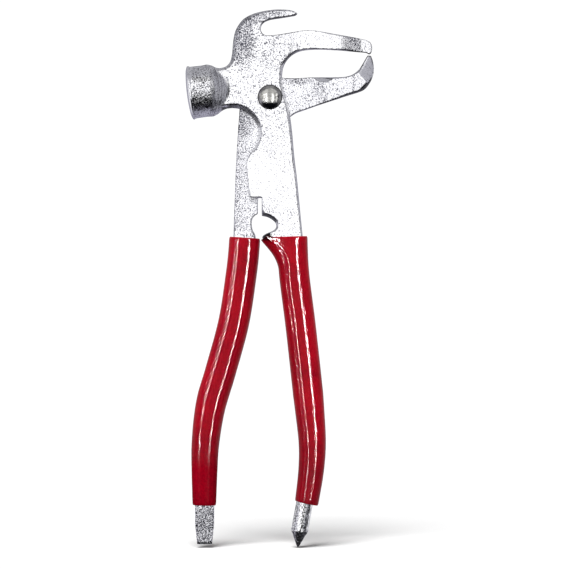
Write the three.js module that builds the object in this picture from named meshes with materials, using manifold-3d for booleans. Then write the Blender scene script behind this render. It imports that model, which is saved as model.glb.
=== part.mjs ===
// Forged hammer pliers of the wheel-weight kind, in millimetres, +Z up.
// Two forged arms cross in a lap joint on one domed rivet. The hammer arm carries the hammer head,
// the prying hook, the upper jaw, the front shear blade and the pointed tail. The jaw arm carries
// the lower jaw, the rear shear blade and the flat driver tail. Each handle wears a soft sleeve.
// The pliers stand on their tails, jaws shut, with the front facing -Y.
// The origin is on the pivot axis, on the flat rear end of the rivet.
import * as THREE from "three";
import { mergeVertices } from "three/addons/utils/BufferGeometryUtils.js";
import Module from "manifold-3d";

const wasm = await Module();
wasm.setup();

// ---- Driving dimensions ----
const LAP = 6; // thickness of each arm where they cross
const GAP = 0.3; // running gap between the two arms
const CORE = 4.2; // half thickness of the handles and of the jaw tips
const DRAFT = 1.25; // how far the forging draft pulls an edge in between the mid plane and the face
const FAR = 12; // reach of cutting solids past the outside of the part
const SEGMENT = 1.7; // spacing of the points along a curved outline

const RIVET = { shank: 4, bore: 4.1, head: 5.75, headHeight: 2.9, tail: 5.6, tailHeight: 1.5, sides: 48 };
const WASHER = { inner: 4.3, outer: 7.4, thick: 1.2, bevel: 0.3 };
const SEAT = 0.1; // clearance under the rivet head and on both sides of the washer

const HAMMER = { face: [-38.2, 2.1], tilt: 8, flat: 8.5, rim: 12.4, waist: 12, collar: 12.4, root: 5.6 };

const SLEEVE = { depth: 6.4, clearance: 0.3, wallTop: 1.95, wallEnd: 1.15, round: 4.2 };
const HANDLE = { taperFrom: -138, end: -190, endWidth: 10.9 };
const FLARE = { reach: 7.5, from: -79.5, to: -66.3 }; // the hammer arm's handle widens to its lip here
const BELOW = -220; // a height below everything

const LAP_END = -48.5; // below this height the arms stop lapping and ramp to the common mid plane
const RAMP_END = -61;
const OUTER_RAMP = -50; // the outer faces start their ramps here
const LOWER_JAW_STEP = [17.5, 24]; // where the lower jaw steps forward to the mid plane, along X
const UPPER_JAW_STEP = [32, 38]; // where the upper jaw steps back, along X

const STEEL = new THREE.MeshStandardMaterial({ color: 0xd9dbde, roughness: 0.34, metalness: 1 });
const RIVET_STEEL = new THREE.MeshStandardMaterial({ color: 0xa9a79f, roughness: 0.3, metalness: 1 });
const RED_VINYL = new THREE.MeshStandardMaterial({ color: 0xb5081c, roughness: 0.25, metalness: 0 });

// ---- Solids from geometry ----
// A closed geometry as a solid, whichever way round its triangles were wound.
function solid(geometry) {
  const bare = geometry.index ? geometry.toNonIndexed() : geometry.clone();
  bare.deleteAttribute("normal");
  bare.deleteAttribute("uv");
  const merged = mergeVertices(bare, 1e-4);
  const index = merged.index.array;
  const corners = [0, 1, 2].map(() => new THREE.Vector3());
  let volume = 0;
  for (let i = 0; i < index.length; i += 3) {
    corners.forEach((corner, k) => corner.fromBufferAttribute(merged.attributes.position, index[i + k]));
    volume += corners[0].dot(corners[1].clone().cross(corners[2]));
  }
  const triVerts = new Uint32Array(volume > 0 ? index : index.toReversed());
  const vertProperties = merged.attributes.position.array;
  return new wasm.Manifold(new wasm.Mesh({ numProp: 3, vertProperties, triVerts }));
}

function geometryOf(manifold) {
  const mesh = manifold.getMesh();
  const geometry = new THREE.BufferGeometry();
  geometry.setAttribute("position", new THREE.BufferAttribute(mesh.vertProperties, 3));
  geometry.setIndex(new THREE.BufferAttribute(mesh.triVerts, 1));
  const flat = geometry.toNonIndexed();
  flat.computeVertexNormals();
  return flat;
}

const VIEWS = {
  front: [[1, 0, 0], [0, 0, 1], [0, -1, 0]], // outline in X and Z, pushed along -Y
  top: [[1, 0, 0], [0, 1, 0], [0, 0, 1]], // outline in X and Y, pushed along Z
  side: [[0, 1, 0], [0, 0, 1], [1, 0, 0]], // outline in Y and Z, pushed along X
};

// A straight prism over an outline drawn in one view, between two stations of the pushed axis.
function prism(view, outline, from, to) {
  const shape = new THREE.Shape(outline.map((p) => new THREE.Vector2(...p)));
  const geometry = new THREE.ExtrudeGeometry(shape, { depth: to - from, bevelEnabled: false });
  geometry.translate(0, 0, from);
  const axes = VIEWS[view].map((axis) => new THREE.Vector3(...axis));
  return solid(geometry.applyMatrix4(new THREE.Matrix4().makeBasis(...axes)));
}

// A turned solid: its profile is [radius, station] pairs along an axis through `at` in the direction `along`.
function turned(profile, at, along, sides) {
  const geometry = new THREE.LatheGeometry(profile.map((p) => new THREE.Vector2(...p)), sides);
  const lathe = new THREE.Vector3(0, 1, 0);
  geometry.applyQuaternion(new THREE.Quaternion().setFromUnitVectors(lathe, along.clone().normalize()));
  return solid(geometry.translate(at.x, at.y, at.z));
}

// ---- Outlines, as [x, z] points ----
// A smooth run through the given points.
function smooth(...points) {
  const curve = new THREE.SplineCurve(points.map((p) => new THREE.Vector2(...p)));
  const steps = Math.max(points.length, Math.round(curve.getLength() / SEGMENT));
  return curve.getSpacedPoints(steps).map((p) => [p.x, p.y]);
}

function distinct(points) {
  return points.filter(([x, z], i) => {
    const [px, pz] = points[(i + points.length - 1) % points.length];
    return Math.hypot(x - px, z - pz) > 0.15;
  });
}

// The same run of points on the other side of x = centre, in the opposite order.
function mirrored(points, centre) {
  return points.toReversed().map(([x, z]) => [2 * centre - x, z]);
}

// A forging between -half and +half: full size on its mid plane, drawn in towards both faces.
const FORGE_RINGS = [[0, 0], [0.55, 0.42], [0.86, 0.72], [1, 1]]; // [height share, draft share]
const EASE = 0.35; // how fast the draft grows again with distance from a tight corner

function forged(outline, half, draftAt, section = FORGE_RINGS) {
  const clockwise = THREE.ShapeUtils.isClockWise(outline.map((p) => new THREE.Vector2(...p)));
  const points = distinct(clockwise ? outline.toReversed() : outline).map((p) => new THREE.Vector2(...p));
  const count = points.length;
  const inward = [];
  const draft = [];
  const lengths = points.map((point, i) => point.distanceTo(points[(i + 1) % count]));
  points.forEach((point, i) => {
    const before = point.clone().sub(points[(i + count - 1) % count]).normalize();
    const after = points[(i + 1) % count].clone().sub(point).normalize();
    const turn = Math.atan2(before.cross(after), before.dot(after));
    const shorter = Math.min(lengths[i], lengths[(i + count - 1) % count]);
    const room = 0.4 * shorter / Math.tan(Math.max(turn, 0.01) / 2);
    const middle = before.add(after);
    inward.push(new THREE.Vector2(-middle.y, middle.x).multiplyScalar(2 / Math.max(middle.lengthSq(), 1)));
    draft.push(Math.min(draftAt(point.x, point.y), room));
  });
  for (let pass = 0; pass < 2 * count; pass++) {
    const i = pass % count;
    const j = (i + 1) % count;
    draft[j] = Math.min(draft[j], draft[i] + EASE * lengths[i]);
    const k = count - 1 - i;
    const l = (k + 1) % count;
    draft[k] = Math.min(draft[k], draft[l] + EASE * lengths[k]);
  }
  const rings = [...section.toReversed().map(([h, d]) => [-h, d]), ...section.slice(1)];
  const positions = rings.flatMap(([height, share]) =>
    points.flatMap((point, i) => {
      const { x, y } = inward[i].clone().multiplyScalar(share * draft[i]).add(point);
      return [x, height * half, y];
    }),
  );
  const index = [];
  for (let r = 0; r + 1 < rings.length; r++) {
    for (let i = 0; i < count; i++) {
      const next = (i + 1) % count;
      const [a, b, c, d] = [r * count + i, r * count + next, (r + 1) * count + i, (r + 1) * count + next];
      index.push(a, b, d, a, d, c);
    }
  }
  const last = (rings.length - 1) * count;
  const face = points.map((_, i) => new THREE.Vector2(positions[3 * i], positions[3 * i + 2]));
  for (const [a, b, c] of THREE.ShapeUtils.triangulateShape(face, [])) {
    index.push(a, c, b, last + a, last + b, last + c);
  }
  const geometry = new THREE.BufferGeometry();
  geometry.setAttribute("position", new THREE.Float32BufferAttribute(positions, 3));
  geometry.setIndex(index);
  return solid(geometry);
}

// ---- Handles ----
// Each handle is a smooth centreline with a width that tapers towards the tail.
const hammerHandle = {
  width: 13.6,
  centre: [[10.6, -50], [10.5, -60], [10.6, -70], [11.4, -83], [14.1, -104.4], [16.7, -126.7], [18.6, -145],
    [19.7, -160], [19.3, -172], [17.7, -185], [14.8, -203]],
  top: [[-3.7, -66.3], [17.4, -64.2]],
  bottom: [[11.6, -187.9], [21.9, -190.2]],
};
const jawHandle = {
  width: 14,
  centre: [[-11.4, -50], [-11.6, -60], [-12.1, -70], [-13.4, -82], [-16.9, -104.4], [-22.9, -126.7],
    [-27.6, -143], [-30, -160], [-30.5, -175], [-30.6, -203]],
  top: [[-18.7, -64.9], [-4.7, -66.2]],
  bottom: [[-36, -189.8], [-25.1, -189.9]],
};

function widthAt(handle, z) {
  const taper = THREE.MathUtils.clamp((HANDLE.taperFrom - z) / (HANDLE.taperFrom - HANDLE.end), 0, 1);
  return handle.width + (HANDLE.endWidth - handle.width) * taper;
}

function wallAt(z) {
  const share = THREE.MathUtils.clamp((FLARE.to - z) / (FLARE.to - HANDLE.end), 0, 1);
  return SLEEVE.wallTop + (SLEEVE.wallEnd - SLEEVE.wallTop) * share;
}

// One edge of a handle between two heights, inset from the sleeve's outside. side is -1 left, +1 right.
function handleEdge(handle, side, inset, from, to, flare = 0) {
  const curve = new THREE.SplineCurve(handle.centre.map((p) => new THREE.Vector2(...p)));
  const steps = Math.round(curve.getLength() / (2.2 * SEGMENT));
  const edge = [];
  for (let i = 0; i <= steps; i++) {
    const at = curve.getPointAt(i / steps);
    const run = curve.getTangentAt(i / steps);
    const half = widthAt(handle, at.y) / 2 - inset(at.y);
    const rise = Math.max(0, (at.y - FLARE.from) / (FLARE.to - FLARE.from));
    const reach = half + (side < 0 ? flare * Math.min(rise, 1.1) ** 1.8 : 0);
    edge.push([at.x - side * run.y * reach, at.y + side * run.x * reach]);
  }
  return edge.filter(([, z]) => z <= from && z >= to);
}

// ---- The hammer arm ----
const HOOK_TIP = [13.1, 39.2];
const HOOK_BEVEL = { centre: [0, 24.5], inner: 9.5, outer: 24, fall: 0.3 };
const POINT = { from: [16.1, -190.2], to: [13.7, -201.4], tip: [12.9, -209.3], radius: 3.9, buried: 6 };

function hammerArmOutline() {
  return [
    ...smooth([-29, 13.4], [-24, 14], [-20.4, 14.7], [-17.6, 17], [-16.6, 21.3], [-16.3, 26.9],
      [-14.6, 32.2], [-10.8, 36.4], [-5.3, 39], [1.2, 40.7], [7.5, 40.9], [11.6, 40.2], HOOK_TIP),
    ...smooth([11.8, 38], [5.3, 36.9], [-0.2, 36], [-3.3, 34.4], [-4.25, 31.9], [-3.2, 29.6], [-1, 28.8],
      [4, 29.3], [10.9, 30.5], [17.3, 31.4], [21.6, 30.8], [31.4, 29], [41.2, 27.1], [45.4, 26.1],
      [47.2, 24.8], [47.8, 22.4], [47.3, 20.6], [46.1, 19.8]),
    ...smooth([45, 20.9], [40, 21.4], [32.8, 21.9], [23.5, 22.3], [16.5, 22], [12.2, 20.8], [8.8, 18.3],
      [6.6, 14.8], [5.75, 10.5], [5.85, 7], [6.6, 3], [8.1, -2.4], [9.5, -9], [10.4, -16], [11, -23]),
    ...smooth([11.7, -30], [12.7, -38.2], [14.5, -57], [15.1, -63]),
    ...handleEdge(hammerHandle, 1, wallAt, -67, -191),
    ...handleEdge(hammerHandle, -1, wallAt, -68.5, -191, FLARE.reach - 0.4).toReversed(),
    [-1.3, -67.3],
    [-1.6, -65.8],
    ...smooth([-3.7, -65.3], [-3.3, -64.1], [-1.4, -63], [1.4, -61.9], [3.3, -60.5], [3.9, -59], [3.1, -57.2],
      [1.2, -55.6], [-1.2, -54.4], [-3.9, -54]),
    [-3.9, -46.7],
    ...smooth([-9.6, -46.7], [-10.3, -41.5], [-10.9, -35.9], [-11.2, -31.3], [-10.9, -28.9], [-9.6, -26.9],
      [-7.6, -25], [-5.7, -22.6], [-4.6, -19.6], [-4.2, -16.2], [-4.9, -12.4], [-6.7, -9.1], [-9.3, -6.4],
      [-12.8, -4.4], [-16.6, -3.5], [-20.4, -3.8], [-24, -5.2], [-29, -7]),
  ];
}

// Where the arm thins to an edge there is less draft: the hook tip, the shear blade, the lip of the handle.
function hammerArmDraft(x, z) {
  const hookTip = THREE.MathUtils.clamp(Math.hypot(x - HOOK_TIP[0], z - HOOK_TIP[1]) / 9, 0.3, 1);
  const blade = x < -9.3 && z < -28 && z > -47.5 ? 0.15 : 1;
  const stopFace = x < -3 && z < -46 && z > -55 ? 0.25 : 1;
  const lip = THREE.MathUtils.clamp(Math.hypot(x + 3.7, z + 65.4) / 8, 0.2, 1);
  return DRAFT * Math.min(z > 33 ? hookTip : 1, blade, stopFace, lip);
}

function hammerHead() {
  const { face, tilt, flat, rim, waist, collar, root } = HAMMER;
  const crown = [[0, 0], [flat, 0], [10.3, 0.35], [11.3, 0.95], [12, 1.9], [rim, 2.9]];
  const barrel = [[rim - 0.1, 3.8], [waist, 6.4], [waist, 8.6], [collar - 0.15, 11], [collar, 11.8]];
  const shoulder = [[collar - 0.4, 12.7], [root + 0.6, 18.4], [root - 1.2, 20.2], [0, 20.8]];
  const lean = THREE.MathUtils.degToRad(tilt);
  const along = new THREE.Vector3(Math.cos(lean), 0, Math.sin(lean));
  return turned([...crown, ...barrel, ...shoulder], new THREE.Vector3(face[0], 0, face[1]), along, 44);
}

function pointedTail() {
  const { from, to, tip, radius, buried } = POINT;
  const start = new THREE.Vector3(from[0], 0, from[1]);
  const shoulder = new THREE.Vector3(to[0], 0, to[1]);
  const end = new THREE.Vector3(tip[0], 0, tip[1]);
  const run = shoulder.clone().sub(start);
  const length = run.length();
  const stem = [[0, -buried], [radius - 0.3, -buried], [radius, 0], [radius - 0.1, length], [0, length]];
  const point = end.clone().sub(shoulder);
  const reach = point.length();
  const base = [[0, -1.5], [radius - 0.1, -0.6], [radius - 0.25, 0.4]];
  const cone = [...base, [2.3, reach * 0.5], [0.45, reach - 0.3], [0, reach]];
  return turned(stem, start, run, 20).add(turned(cone, shoulder, point, 20));
}

// Space at the back of the hammer arm for the jaw arm to turn in, and the ramps out of it.
function hammerArmCuts() {
  const behindLap = [[-19, 0], [31, 0], [37, CORE], [60, CORE], [60, FAR], [-25, FAR], [-25, 6]];
  const behindHandle = [[0, -40], [0, LAP_END], [CORE, RAMP_END], [CORE, BELOW], [FAR, BELOW], [FAR, -40]];
  const beforeHandle = [
    [-LAP, OUTER_RAMP], [-CORE, RAMP_END], [-CORE, BELOW], [-FAR, BELOW], [-FAR, OUTER_RAMP],
  ];
  const [from, to] = UPPER_JAW_STEP;
  const beforeJawTip = [[from, -LAP], [to, -CORE], [60, -CORE], [60, -FAR], [from, -FAR]];
  return [
    prism("top", behindLap, LAP_END, 60),
    prism("side", behindHandle, -25, 40),
    prism("side", beforeHandle, -25, 40),
    prism("top", beforeJawTip, 10, 40),
    hookBevel(),
  ];
}

// A broad cone ground round the outside of the hook, which thins it towards its outer edge.
function hookBevel() {
  const { centre, inner, outer, fall } = HOOK_BEVEL;
  const rim = -LAP + fall * (outer - inner);
  const ring = [[inner, -LAP], [outer, rim], [outer, -FAR], [inner, -FAR], [inner, -LAP]];
  const cone = turned(ring, new THREE.Vector3(centre[0], 0, centre[1]), new THREE.Vector3(0, 1, 0), 56);
  const sector = [[-2, 17], [-30, 17], [-30, 50], [12, 50], [6, 36]];
  return cone.intersect(prism("front", sector, -5, 20));
}

function pivotBore() {
  const axis = new THREE.Vector3(0, 1, 0);
  const { bore, sides } = RIVET;
  return turned([[0, -20], [bore, -20], [bore, 20], [0, 20]], new THREE.Vector3(), axis, sides);
}

function hammerArm() {
  let arm = forged(hammerArmOutline(), LAP, hammerArmDraft);
  for (const cut of hammerArmCuts()) arm = arm.subtract(cut);
  return arm.add(hammerHead()).add(pointedTail()).subtract(pivotBore());
}

// ---- The jaw arm ----
const DRIVER = { top: -186, shoulder: -191, end: -207.6, centre: -30.4, halfWide: 4.4, halfEnd: 3.5 };
const DRIVER_DEPTH = { foot: -201.6, halfTop: 3.4, halfShoulder: 3.2, halfFoot: 1.5, halfTip: 0.65 };

function jawArmOutline() {
  return [
    ...smooth([-16.6, -63.5], [-16.1, -49.9], [-15.5, -31.3], [-14.9, -17], [-14.3, -7.5], [-13.6, 0],
      [-10.5, 6.8], [-5, 10.4], [1.5, 10.6], [6.5, 9.4]),
    ...smooth([12, 9.3], [21.2, 9.6], [32.8, 9.7], [36, 10.1], [38.6, 11], [41.2, 13], [43.5, 16.1],
      [45.7, 19.4]),
    ...smooth([47.2, 19.4], [48.3, 17.2], [48.8, 13.5], [48.3, 9.2], [46.8, 5.2], [44.2, 2.4], [41.4, 1.3]),
    ...smooth([37.4, 0.3], [24.9, -3.3], [16, -5.9], [11.4, -7.6], [7.6, -11], [4, -18], [0, -28],
      [-3.6, -38], [-5.2, -45.5]),
    [-5.6, -49],
    [-5.6, -54],
    ...smooth([-7.1, -54.8], [-8.2, -56.4], [-8.5, -59], [-8, -61.6], [-6.9, -63.4], [-6.6, -65.5]),
    ...handleEdge(jawHandle, 1, wallAt, -67, -191),
    ...handleEdge(jawHandle, -1, wallAt, -65.5, -191).toReversed(),
  ];
}

function jawArmDraft(x, z) {
  const stopFace = x > -9 && x < 4 && z < -20 && z > -55 ? 0.25 : 1;
  const jawTip = x > 42 && z > 14 ? 0.5 : 1;
  return DRAFT * Math.min(stopFace, jawTip);
}

function jawArmCuts() {
  const [step, full] = LOWER_JAW_STEP;
  const beforeLap = [[-25, GAP], [step, GAP], [full, -CORE], [60, -CORE], [60, -FAR], [-25, -FAR]];
  const behindJaw = [[14, LAP + GAP], [24, CORE], [60, CORE], [60, FAR], [14, FAR]];
  const beforeHandle = [
    [GAP, -40], [GAP, LAP_END], [-CORE, RAMP_END], [-CORE, BELOW], [-FAR, BELOW], [-FAR, -40],
  ];
  const behindHandle = [
    [LAP + GAP, OUTER_RAMP], [CORE, RAMP_END], [CORE, BELOW], [FAR, BELOW], [FAR, OUTER_RAMP],
  ];
  return [
    prism("top", beforeLap, LAP_END, 60),
    prism("top", behindJaw, -20, 60),
    prism("side", beforeHandle, -40, 17),
    prism("side", behindHandle, -40, 40),
    jawTipBevel(),
  ];
}

// The flat ground across the upturned end of the lower jaw: it starts along a slanting line through
// `from` and leans back towards the tip.
const FACET = { from: [41.6, 10], turn: 40.4, lean: 3.4 / 7.6, reach: 14, width: 40 };

function jawTipBevel() {
  const { from, turn, lean, reach, width } = FACET;
  const wedge = [[0, -CORE], [reach, -CORE + reach * lean], [reach, -FAR], [0, -FAR]];
  const shape = new THREE.Shape(wedge.map((p) => new THREE.Vector2(...p)));
  const geometry = new THREE.ExtrudeGeometry(shape, { depth: width, bevelEnabled: false });
  geometry.translate(0, 0, -width / 2);
  geometry.rotateY(THREE.MathUtils.degToRad(-turn));
  geometry.translate(from[0], 0, from[1]);
  return solid(geometry);
}

function driverTail() {
  const { top, shoulder, end, centre, halfWide, halfEnd } = DRIVER;
  const { foot, halfTop, halfShoulder, halfFoot, halfTip } = DRIVER_DEPTH;
  const right = [[centre + halfEnd, end], [centre + halfWide, shoulder - 7], [centre + halfWide, top]];
  const front = [...right, ...mirrored(right, centre)];
  const rear = [[halfTip, end], [halfFoot, foot], [halfShoulder, shoulder], [halfTop, top]];
  const side = [...rear, ...mirrored(rear, 0)];
  return prism("front", front, -FAR, FAR).intersect(prism("side", side, -50, 0));
}

function jawArm() {
  let arm = forged(jawArmOutline(), LAP + GAP, jawArmDraft);
  for (const cut of jawArmCuts()) arm = arm.subtract(cut);
  return arm.add(driverTail()).subtract(pivotBore());
}

// ---- The pivot ----
function pivotRivet() {
  const { shank, head, headHeight, tail, tailHeight, sides } = RIVET;
  const front = -LAP - SEAT;
  const rear = LAP + GAP + 2 * SEAT + WASHER.thick;
  const dome = [];
  for (let i = 0; i <= 7; i++) {
    const angle = (i / 7) * (Math.PI / 2);
    dome.push([head * Math.sin(angle), front - headHeight * Math.cos(angle)]);
  }
  const end = rear + tailHeight;
  const clinch = [[tail, rear], [tail, rear + 0.5], [tail - 0.8, rear + 1.2], [tail - 1.9, end], [0, end]];
  const profile = [...dome, [shank, front], [shank, rear], ...clinch];
  return turned(profile, new THREE.Vector3(), new THREE.Vector3(0, 1, 0), sides);
}

function rivetWasher() {
  const { inner, outer, thick, bevel } = WASHER;
  const from = LAP + GAP + SEAT;
  const to = from + thick;
  const rim = [[outer, from], [outer, to - bevel], [outer - bevel, to]];
  const ring = [[inner, from], ...rim, [inner, to], [inner, from]];
  return turned(ring, new THREE.Vector3(), new THREE.Vector3(0, 1, 0), 40);
}

// ---- The sleeves ----
function sleeve(handle, flare) {
  const none = () => 0;
  const slack = (z) => wallAt(z) - SLEEVE.clearance;
  const outside = [
    ...handleEdge(handle, 1, none, -50, -210),
    ...handleEdge(handle, -1, none, -50, -210, flare).toReversed(),
  ];
  const inside = [
    ...handleEdge(handle, 1, slack, -50, -210),
    ...handleEdge(handle, -1, slack, -50, -210, flare).toReversed(),
  ];
  const [[topLeft, topRight], [endLeft, endRight]] = [handle.top, handle.bottom];
  const past = (a, b, reach) => [a[0] + (a[0] - b[0]) * reach, a[1] + (a[1] - b[1]) * reach];
  const span = [past(topLeft, topRight, 0.6), past(topRight, topLeft, 0.6), past(endRight, endLeft, 1),
    past(endLeft, endRight, 1)];
  const inner = prism("front", inside, -CORE - SLEEVE.clearance, CORE + SLEEVE.clearance);
  const bar = forged(outside, SLEEVE.depth, () => SLEEVE.round, roundedSection());
  return bar.intersect(prism("front", span, -FAR, FAR)).subtract(inner);
}

// The section of a bar whose edges are rounded almost to a half circle.
function roundedSection() {
  const { depth, round } = SLEEVE;
  const section = [[0, 0]];
  for (let i = 0; i <= 6; i++) {
    const angle = (i / 6) * (Math.PI / 2);
    section.push([1 - (round / depth) * (1 - Math.sin(angle)), 1 - Math.cos(angle)]);
  }
  return section;
}

// ---- The assembly ----
function piece(name, manifold, material) {
  const mesh = new THREE.Mesh(geometryOf(manifold), material);
  mesh.name = name;
  return mesh;
}

const rivetRear = LAP + GAP + 2 * SEAT + WASHER.thick + RIVET.tailHeight;
const pliers = new THREE.Group();
pliers.position.y = -rivetRear; // puts the rivet's rear end on the origin
pliers.add(
  piece("hammer_arm", hammerArm(), STEEL),
  piece("jaw_arm", jawArm(), STEEL),
  piece("pivot_rivet", pivotRivet(), RIVET_STEEL),
  piece("rivet_washer", rivetWasher(), RIVET_STEEL),
  piece("hammer_arm_grip", sleeve(hammerHandle, FLARE.reach), RED_VINYL),
  piece("jaw_arm_grip", sleeve(jawHandle, 0), RED_VINYL),
);

export default pliers;
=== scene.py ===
"""Looks of the hammer pliers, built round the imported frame.

The two forgings are modelled as signed distance fields in millimetres (x to the jaws, z up, y through
the tool, with y = 0 on the plane where the arms meet) and turned into meshes by a surface net. The
sleeves are lofted along the handles, and the rivet and its washer are turned.
"""

import math

import bmesh
import bpy
import numpy as np
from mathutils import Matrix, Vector


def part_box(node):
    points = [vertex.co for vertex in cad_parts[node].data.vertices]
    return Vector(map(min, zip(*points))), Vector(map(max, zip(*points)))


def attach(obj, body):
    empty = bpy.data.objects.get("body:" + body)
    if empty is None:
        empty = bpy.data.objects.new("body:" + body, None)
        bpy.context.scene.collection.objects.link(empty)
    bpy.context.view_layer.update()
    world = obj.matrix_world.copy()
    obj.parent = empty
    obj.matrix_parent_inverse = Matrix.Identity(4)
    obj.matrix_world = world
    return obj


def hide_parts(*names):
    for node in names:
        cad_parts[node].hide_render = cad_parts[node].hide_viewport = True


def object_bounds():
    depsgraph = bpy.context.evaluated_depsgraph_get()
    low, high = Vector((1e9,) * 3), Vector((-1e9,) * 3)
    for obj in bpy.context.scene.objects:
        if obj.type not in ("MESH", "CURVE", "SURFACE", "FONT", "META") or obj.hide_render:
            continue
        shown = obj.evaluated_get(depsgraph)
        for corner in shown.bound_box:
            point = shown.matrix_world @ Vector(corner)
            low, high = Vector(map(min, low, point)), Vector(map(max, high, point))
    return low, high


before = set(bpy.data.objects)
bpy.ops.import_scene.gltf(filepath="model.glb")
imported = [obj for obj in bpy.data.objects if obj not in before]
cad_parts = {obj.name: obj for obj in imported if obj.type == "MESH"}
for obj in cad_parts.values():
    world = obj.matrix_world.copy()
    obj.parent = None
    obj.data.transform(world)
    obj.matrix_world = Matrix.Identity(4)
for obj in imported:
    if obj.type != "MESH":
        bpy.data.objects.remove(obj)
cad_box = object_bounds()

MM = 0.001
STEP = 0.42  # spacing of the grid that the forgings are meshed on
LAP = 6.0  # thickness of an arm where the arms cross
GAP = 0.3  # between the arms
CORE = 4.2  # half thickness of the handles and of the jaw tips
FACE_BLEND = 0.4  # rounding where a front and a back face run together
CRISP, SOFT = 0.25, 0.72  # rounding of the outline's edges along the middle of the jaws and elsewhere
LAP_END = -48.5  # the arms stop lapping here and ramp to the common mid plane
RAMP_END = -61.0
NECK_FROM, NECK_TO = -20.2, -26.0  # the neck of the hammer deepens to its full depth between these
HAMMER_BOTTOM = -15.0  # everything of the hammer head is above this height
TAILS_FROM = -187.0  # the bare tails are below this one
SLEEVE_DEPTH = 6.4  # half the thickness of a sleeve

grip_low, grip_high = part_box("hammer_arm_grip")
LAP_Y = (grip_low.y + grip_high.y) / 2 / MM  # the plane where the arms meet, in the CAD's frame


# ---- Curves and outlines, as arrays of (x, z) in millimetres ----
def catmull(points, spacing=1.0):
    """A smooth run through the points, resampled evenly."""
    p = np.asarray(points, float)
    p = np.vstack([2 * p[0] - p[1], p, 2 * p[-1] - p[-2]])
    t = np.linspace(0, 1, 12, endpoint=False)[:, None]
    runs = []
    for a, b, c, d in zip(p, p[1:], p[2:], p[3:]):
        square = 2 * a - 5 * b + 4 * c - d
        cube = 3 * b - a - 3 * c + d
        runs.append(0.5 * (2 * b + (c - a) * t + square * t**2 + cube * t**3))
    line = np.vstack([*runs, p[-2][None]])
    along = np.concatenate([[0], np.cumsum(np.hypot(*np.diff(line, axis=0).T))])
    at = np.linspace(0, along[-1], max(2, round(along[-1] / spacing) + 1))
    return np.column_stack([np.interp(at, along, line[:, k]) for k in (0, 1)])


HAMMER_HANDLE = {  # flare widens the sleeve to the left at its top, dull is the sheen lost at its bottom
    "width": 14.1,
    "centre": [(10.5, -50), (10.4, -60), (10.5, -70), (11.3, -83), (14, -104.4), (16.5, -126.7),
               (18.4, -145), (19.6, -160), (19.2, -172), (17.5, -185), (14.6, -203)],
    "top": [(-3.8, -66.2), (-2.4, -64.3), (-1.0, -63.8), (0.6, -64.8), (17.4, -64.3)],
    "bottom": [(11.4, -187.2), (22.3, -189.6)],
    "flare": 7.5,
    "dull": 0.35,
}
JAW_HANDLE = {
    "width": 14.4,
    "centre": [(-11.4, -50), (-11.6, -60), (-12.1, -70), (-13.4, -82), (-16.9, -104.4), (-22.9, -126.7),
               (-27.6, -143), (-30, -160), (-30.5, -175), (-30.6, -203)],
    "top": [(-18.7, -64.6), (-4.7, -65.5)],
    "bottom": [(-36, -189.2), (-25.1, -189.4)],
    "flare": 0.0,
    "dull": 0.97,
}
TAPER_FROM, HANDLE_END, END_WIDTH = -138.0, -190.0, 10.9  # both handles narrow here
CORE_END = -186.0  # the full section of the steel stops here, inside the sleeve
FLARE_FROM, FLARE_TO = -79.5, -66.3
WALL_TOP, WALL_END = 1.95, 1.15  # thickness of a sleeve's wall at both ends


def width_at(handle, z):
    taper = np.clip((TAPER_FROM - z) / (TAPER_FROM - HANDLE_END), 0, 1)
    return handle["width"] + (END_WIDTH - handle["width"]) * taper


def wall_at(z):
    return WALL_TOP + (WALL_END - WALL_TOP) * np.clip((FLARE_TO - z) / (FLARE_TO - HANDLE_END), 0, 1)


def stations(handle, spacing=1.0):
    """Centre points, unit cross directions and the half widths left and right of a handle."""
    centre = catmull(handle["centre"], spacing)
    run = np.gradient(centre, axis=0)
    run /= np.hypot(*run.T)[:, None]
    cross = np.column_stack([-run[:, 1], run[:, 0]])
    cross *= np.sign(cross[:, :1])
    half = width_at(handle, centre[:, 1]) / 2
    rise = np.clip((centre[:, 1] - FLARE_FROM) / (FLARE_TO - FLARE_FROM), 0, 1.1)
    return centre, cross, half + handle["flare"] * rise**1.8, half


def core_edge(handle, side, low, high, trim=0.0):
    """One edge of the steel core under a sleeve, between two heights. side is -1 left, +1 right."""
    centre, cross, left, right = stations(handle)
    reach = (right if side > 0 else left - trim) - wall_at(centre[:, 1])
    edge = centre + side * cross * reach[:, None]
    return edge[(edge[:, 1] <= high) & (edge[:, 1] >= low)]


HOOK_TIP = (13.1, 39.2)
HAMMER_DRAFT = [  # x, z and the draft there, round the outline of the hammer arm
    (-24, 14, 1.4), (-18, 17, 1.6), (-16.5, 26, 1.8), (-12, 35, 1.7), (-3, 39.5, 1.1), (5, 40.8, 0.7),
    (12, 39.5, 0.4), (8, 37.3, 0.2), (-1, 36, 0.2), (-4, 32, 0.2), (-1, 28.8, 0.2), (6, 29.6, 0.3),
    (18, 31.4, 0.3), (30, 29.3, 0.6), (42, 26.9, 0.5), (47.8, 23, 0.9), (46, 20, 0.7), (38, 21.4, 0.5),
    (26, 22.2, 0.2), (17, 22, 0.3), (10, 19.5, 0.5), (6, 12, 1.0), (6.2, 4, 1.1), (9, -6, 1.0),
    (11, -24, 0.85), (13, -42, 0.75), (15, -62, 0.55), (-3.9, -50, 0.2), (-6, -46.7, 0.1), (-10, -44, 0.3),
    (-11.2, -33, 0.35), (-9.8, -27, 0.5), (-6.8, -22, 1.4), (-5.5, -16, 1.6), (-8, -9.6, 1.7),
    (-13, -5.7, 1.7), (-20, -5.2, 1.6), (-1, -54.6, 1.2), (3.2, -57, 1.2), (3.6, -60, 0.7), (-1, -63, 0.4),
    (-3.5, -65, 0.4), (-2, -69, 1.0), (8, -100, 1.2), (22, -100, 1.2), (12, -180, 1.2), (24, -180, 1.2),
]
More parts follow.
